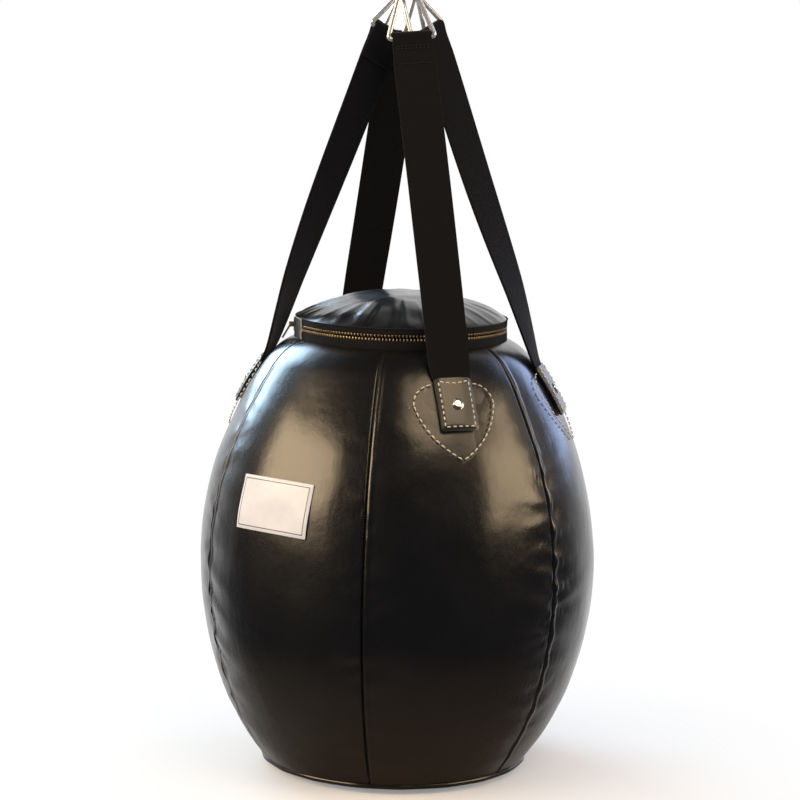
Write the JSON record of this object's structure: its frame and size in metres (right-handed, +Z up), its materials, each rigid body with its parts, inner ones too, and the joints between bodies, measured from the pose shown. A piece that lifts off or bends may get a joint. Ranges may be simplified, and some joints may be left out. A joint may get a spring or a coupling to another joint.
{
  "type": "heavy punching bag",
  "caption": "Hanging heavy punching bag: filled leather body with zipped lid, webbing straps sewn and riveted under heart patches, rings on a gated hook.",
  "frame": {"origin": "the hanging point, on the inside of the carabiner's top bow", "axes": "+Z up; -Y faces the label panel; straps stand at 60, 120, 240 and 300 degrees from -Y towards +X"},
  "size_m": [0.4732, 0.4732, 1.0255],
  "materials": {
    "carabiner_steel": "satin",
    "pin_steel": "satin",
    "ring_chrome": "polished",
    "trim_leather": "gloss",
    "body_leather": "gloss",
    "rivet_metal": "polished",
    "strap_webbing": "matte",
    "zipper_tape": "matte",
    "zipper_brass": "satin",
    "slider_brass": "satin",
    "foam": "matte",
    "liner_cloth": "matte",
    "filling": "matte",
    "label_white": "satin"
  },
  "bodies": {
    "hanger": {"carabiner_body": "carabiner_steel", "gate_pin": "pin_steel"},
    "gate": {"carabiner_gate": "carabiner_steel"},
    "bag": {"bottom_panel": "body_leather", "cover_panel_1": "body_leather", "cover_panel_2": "body_leather", "cover_panel_3": "body_leather", "cover_panel_4": "body_leather", "cover_panel_5": "body_leather", "cover_panel_6": "body_leather", "filling": "filling", "foam_layer": "foam", "heart_patch_back": "trim_leather", "heart_patch_front": "trim_leather", "heart_patch_left": "trim_leather", "heart_patch_right": "trim_leather", "inner_liner": "liner_cloth", "label_patch": "label_white", "lid_fold": "trim_leather", "lid_front": "trim_leather", "rivet_burrs": "rivet_metal", "strap_back": "strap_webbing", "strap_front": "strap_webbing", "strap_left": "strap_webbing", "strap_right": "strap_webbing", "strap_rivets": "rivet_metal", "strap_tab_back": "trim_leather", "strap_tab_front": "trim_leather", "strap_tab_left": "trim_leather", "strap_tab_right": "trim_leather", "triangle_ring_back": "ring_chrome", "triangle_ring_front": "ring_chrome", "triangle_ring_left": "ring_chrome", "triangle_ring_right": "ring_chrome", "zipper_end_tab": "trim_leather", "zipper_tape_front": "zipper_tape", "zipper_tape_lower": "zipper_tape", "zipper_teeth_front": "zipper_brass", "zipper_teeth_lower": "zipper_brass"},
    "lid_flap": {"lid_flap": "trim_leather", "zipper_tape_rear": "zipper_tape", "zipper_teeth_rear": "zipper_brass"},
    "slider": {"zipper_slider": "slider_brass"},
    "pull": {"zipper_pull": "slider_brass"}
  },
  "joints": [
    {"name": "gate_open", "type": "hinge", "parent": "hanger", "child": "gate", "pos_m": [0.02114, -0.0261, -0.07226], "axis": [-0.7771, -0.6293, 0], "range_deg": [0, 25], "stiffness_Nm_per_rad": 0.5, "springref_deg": -5.73},
    {"name": "bag_swing", "type": "hinge", "parent": "hanger", "child": "bag", "pos_m": [0, 0, -0.0965], "axis": [0.6293, -0.7771, 0], "range_deg": [-30, 30]},
    {"name": "lid_open", "type": "hinge", "parent": "bag", "child": "lid_flap", "pos_m": [0, -0.02, -0.4765], "axis": [1, 0, 0], "range_deg": [0, 75], "deforming": ["lid_fold"]},
    {"name": "slider_travel", "type": "hinge", "parent": "bag", "child": "slider", "pos_m": [0, 0, -0.4875], "axis": [0, 0, 1], "range_deg": [-326, 0]},
    {"name": "pull_swing", "type": "hinge", "parent": "slider", "child": "pull", "pos_m": [-0.0978, -0.08962, -0.4875], "axis": [-0.6756, 0.7373, 0], "range_deg": [0, 100]}
  ]
}
